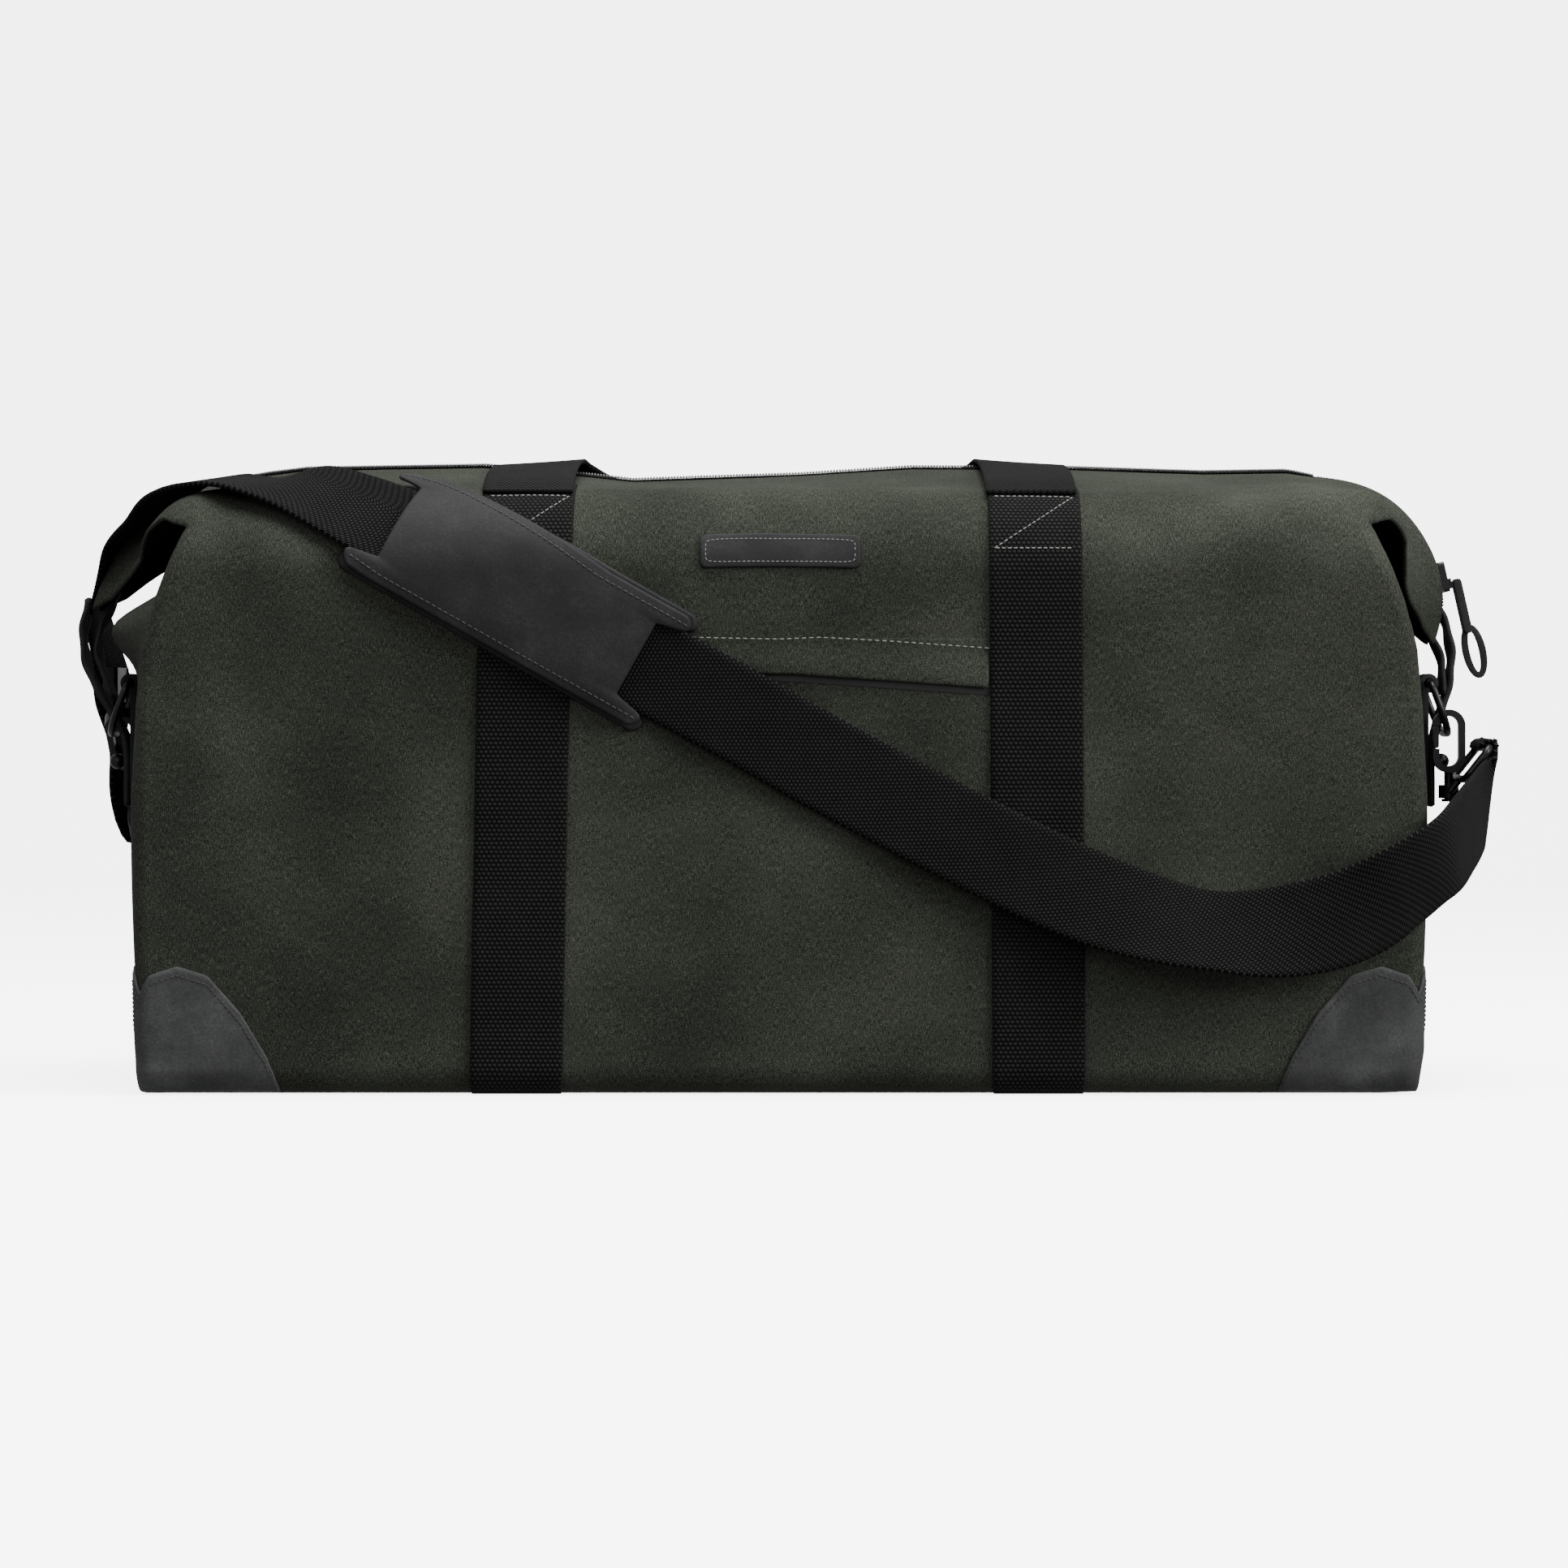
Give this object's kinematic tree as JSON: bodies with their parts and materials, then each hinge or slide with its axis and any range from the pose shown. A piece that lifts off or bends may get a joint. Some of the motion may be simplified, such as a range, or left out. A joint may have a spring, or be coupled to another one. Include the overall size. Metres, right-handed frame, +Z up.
{
  "type": "weekender bag",
  "caption": "Canvas weekender bag with fold-over zipped ends, webbing carry handles, leather corners, and a clip-on padded shoulder strap.",
  "frame": {"origin": "middle of the base, on the surface the bag stands on", "axes": "+X along the bag to its right end seen from the front, -Y out of the front, +Z up"},
  "size_m": [0.6401, 0.285, 0.2782],
  "materials": {
    "canvas": "heather twill canvas",
    "lining_cloth": "plain nylon",
    "base_board": "sheet",
    "zip_tape": "woven tape",
    "zip_teeth": "moulded teeth",
    "webbing": "coarse cotton webbing",
    "leather": "nubuck",
    "black_metal": "satin black"
  },
  "bodies": {
    "root": {"front_panel": "canvas", "back_panel": "canvas", "end_panel_left": "canvas", "end_panel_right": "canvas", "base_panel": "canvas", "front_pocket": "canvas", "pocket_hem": "canvas", "lining": "lining_cloth", "base_board": "base_board", "zip_tape_front": "zip_tape", "zip_tape_back": "zip_tape", "zip_chain": "zip_teeth", "end_tab_right": "leather", "wing_strap_right": "leather", "stud_right": "black_metal", "band_front_right": "webbing", "corner_patch_front_right": "leather", "band_back_right": "webbing", "corner_patch_back_right": "leather", "end_tab_left": "leather", "wing_strap_left": "leather", "stud_left": "black_metal", "band_front_left": "webbing", "corner_patch_front_left": "leather", "band_back_left": "webbing", "corner_patch_back_left": "leather", "label_patch": "leather", "shoulder_strap": "webbing"},
    "front_handle": {"front_handle": "webbing"},
    "back_handle": {"back_handle": "webbing"},
    "zip_slider": {"zip_slider": "black_metal"},
    "zip_pull": {"zip_pull": "leather"},
    "shoulder_pad": {"shoulder_pad_top": "leather", "shoulder_pad_backing": "leather"},
    "strap_adjuster": {"strap_adjuster": "black_metal"},
    "d_ring_right": {"d_ring_right": "black_metal"},
    "swivel_eye_right": {"swivel_eye_right": "black_metal"},
    "hook_right": {"hook_right": "black_metal"},
    "gate_right": {"gate_right": "black_metal"},
    "d_ring_left": {"d_ring_left": "black_metal"},
    "swivel_eye_left": {"swivel_eye_left": "black_metal"},
    "hook_left": {"hook_left": "black_metal"},
    "gate_left": {"gate_left": "black_metal"}
  },
  "joints": [
    {"name": "front_handle_swing", "type": "hinge", "parent": "root", "child": "front_handle", "pos_m": [0, -0.104, 0.266], "axis": [1, 0, 0], "range_deg": [0, 100]},
    {"name": "back_handle_swing", "type": "hinge", "parent": "root", "child": "back_handle", "pos_m": [0, 0.104, 0.266], "axis": [1, 0, 0], "range_deg": [0, 165]},
    {"name": "zip_slider_travel", "type": "hinge", "parent": "root", "child": "zip_slider", "pos_m": [0.245, 0, 0.216], "axis": [0, -1, 0], "range_deg": [0, 76]},
    {"name": "zip_pull_swing", "type": "hinge", "parent": "zip_slider", "child": "zip_pull", "pos_m": [0.31006, 0, 0.22707], "axis": [0, -1, 0], "range_deg": [0, 75]},
    {"name": "pad_slide", "type": "slide", "parent": "root", "child": "shoulder_pad", "axis": [0.878, 0, -0.4787], "range_m": [0, 0.075]},
    {"name": "strap_adjuster_slide", "type": "slide", "parent": "root", "child": "strap_adjuster", "axis": [0, 0, 1], "range_m": [-0.004, 0.004]},
    {"name": "right_ring_swing", "type": "hinge", "parent": "root", "child": "d_ring_right", "pos_m": [0.2963, 0, 0.1807], "axis": [0, -1, 0], "range_deg": [-1, 25], "deforming": ["shoulder_strap"]},
    {"name": "right_clip_swing", "type": "hinge", "parent": "d_ring_right", "child": "swivel_eye_right", "pos_m": [0.30496, -0.0145, 0.15778], "axis": [0, -1, 0], "range_deg": [-2, 8]},
    {"name": "right_hook_swivel", "type": "hinge", "parent": "swivel_eye_right", "child": "hook_right", "pos_m": [0.30496, -0.0145, 0.16128], "axis": [0, 0, 1], "range_deg": [-6, 6]},
    {"name": "right_gate", "type": "hinge", "parent": "hook_right", "child": "gate_right", "pos_m": [0.29916, -0.0145, 0.15028], "axis": [0, 1, 0], "range_deg": [0, 12], "stiffness_Nm_per_rad": 0.05},
    {"name": "left_ring_swing", "type": "hinge", "parent": "root", "child": "d_ring_left", "pos_m": [-0.2963, 0, 0.1807], "axis": [0, 1, 0], "range_deg": [-1, 25], "deforming": ["shoulder_strap"]},
    {"name": "left_clip_swing", "type": "hinge", "parent": "d_ring_left", "child": "swivel_eye_left", "pos_m": [-0.30496, 0.01655, 0.15778], "axis": [0, 1, 0], "range_deg": [-2, 8]},
    {"name": "left_hook_swivel", "type": "hinge", "parent": "swivel_eye_left", "child": "hook_left", "pos_m": [-0.30358, 0.01655, 0.16246], "axis": [-0.0565, -0.706, 0.706], "range_deg": [-6, 6]},
    {"name": "left_gate", "type": "hinge", "parent": "hook_left", "child": "gate_left", "pos_m": [-0.29718, 0.02432, 0.15516], "axis": [0.0563, -0.7082, -0.7037], "range_deg": [0, 12], "stiffness_Nm_per_rad": 0.05}
  ]
}
